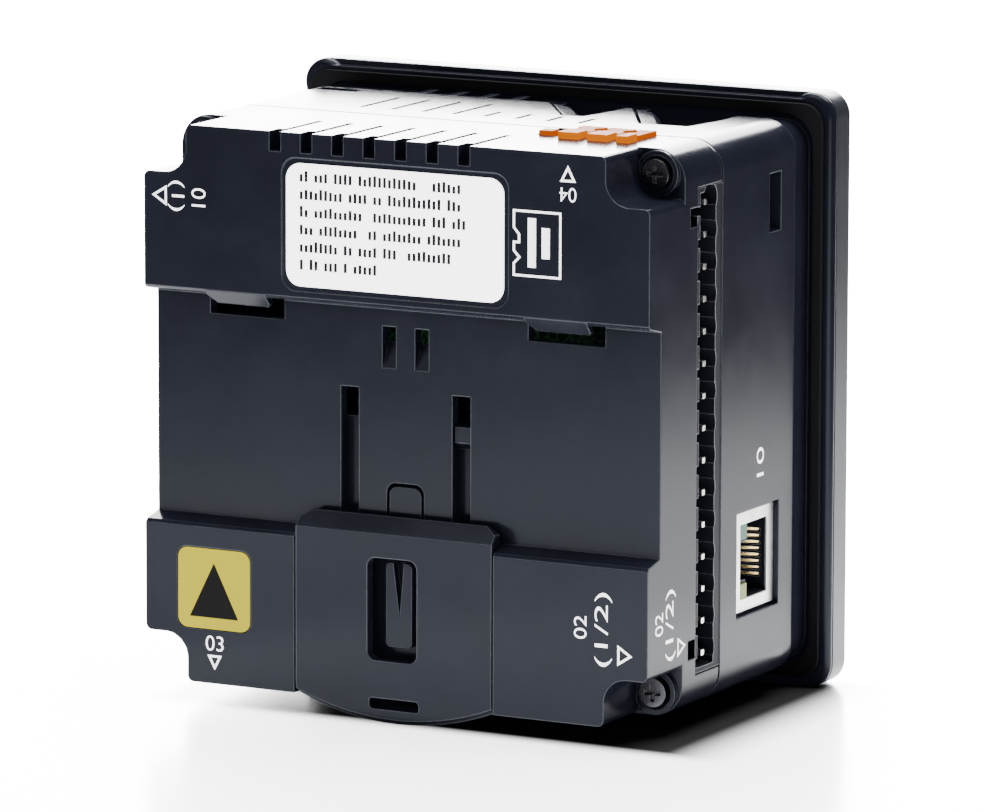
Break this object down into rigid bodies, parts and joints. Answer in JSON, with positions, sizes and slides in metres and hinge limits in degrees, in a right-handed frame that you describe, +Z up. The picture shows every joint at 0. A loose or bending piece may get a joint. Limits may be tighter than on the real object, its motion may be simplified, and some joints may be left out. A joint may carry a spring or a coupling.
{
  "type": "programmable logic controller",
  "caption": "Square panel-mounted controller: flanged screen front, black two-part housing, rear rail channel with sliding clip, side terminal headers and a network jack.",
  "frame": {"origin": "centre of the outline seen from above, at the level of the lower edge that it stands on", "axes": "+Z up, -Y out of the wiring side with the rail channel, +Y out of the screen, +X to the right as seen from the wiring side"},
  "size_m": [0.096, 0.0636, 0.096],
  "materials": {
    "black_moulding": "fine satin",
    "bezel_grey": "fine grain",
    "clip_black": "fine satin",
    "gasket_rubber": "dull",
    "overlay_film": "printed film, fine grain",
    "screen_glass": "polished",
    "display_metal": "satin",
    "carrier_plastic": "satin",
    "screw_black": "black oxide",
    "screw_steel": "zinc plated",
    "board_green": "solder mask",
    "spacer_brass": "turned",
    "header_black": "satin",
    "pin_tin": "tinned",
    "plug_orange": "satin",
    "button_orange": "satin",
    "jack_metal": "nickel plated",
    "contact_gold": "gold plated",
    "led_green": "clear tinted",
    "led_amber": "clear tinted",
    "chip_black": "matt",
    "cell_steel": "polished",
    "capacitor_blue": "sleeved",
    "label_white": "printed label",
    "label_yellow": "printed label"
  },
  "bodies": {
    "housing": {"rear_cover": "black_moulding", "front_housing": "black_moulding", "front_bezel": "bezel_grey", "panel_gasket": "gasket_rubber", "key_overlay": "overlay_film", "touch_panel": "screen_glass", "lcd_module": "display_metal", "display_carrier": "carrier_plastic", "housing_screws": "screw_black", "io_board": "board_green", "main_board": "board_green", "board_spacers": "spacer_brass", "board_screws": "screw_steel", "link_header": "header_black", "link_socket": "header_black", "left_header": "header_black", "left_pins": "pin_tin", "right_header": "header_black", "right_pins": "pin_tin", "top_header": "header_black", "top_pins": "pin_tin", "bottom_header": "header_black", "bottom_pins": "pin_tin", "power_header": "header_black", "power_pins": "pin_tin", "lan_shield": "jack_metal", "lan_insert": "header_black", "lan_contacts": "contact_gold", "lan_led_green": "led_green", "lan_led_amber": "led_amber", "card_socket": "jack_metal", "processor": "chip_black", "cell_holder": "header_black", "coin_cell": "cell_steel", "capacitor_1": "capacitor_blue", "capacitor_2": "capacitor_blue", "white_label": "label_white", "yellow_label": "label_yellow"},
    "clip": {"din_clip": "clip_black"},
    "plug": {"top_plug": "plug_orange"},
    "button_1": {"release_button_1": "button_orange"},
    "button_2": {"release_button_2": "button_orange"},
    "button_3": {"release_button_3": "button_orange"}
  },
  "joints": [
    {"name": "clip_slide", "type": "slide", "parent": "housing", "child": "clip", "axis": [0, 0, -1], "range_m": [0, 0.0032], "stiffness_N_per_m": 1500, "springref_m": -0.001},
    {"name": "plug_pull", "type": "slide", "parent": "housing", "child": "plug", "axis": [0, 0, 1], "range_m": [0, 0.008]},
    {"name": "button_1_press", "type": "slide", "parent": "plug", "child": "button_1", "axis": [0, 0, -1], "range_m": [0, 0.0012], "stiffness_N_per_m": 600, "springref_m": -0.0005},
    {"name": "button_2_press", "type": "slide", "parent": "plug", "child": "button_2", "axis": [0, 0, -1], "range_m": [0, 0.0012], "stiffness_N_per_m": 600, "springref_m": -0.0005},
    {"name": "button_3_press", "type": "slide", "parent": "plug", "child": "button_3", "axis": [0, 0, -1], "range_m": [0, 0.0012], "stiffness_N_per_m": 600, "springref_m": -0.0005}
  ]
}
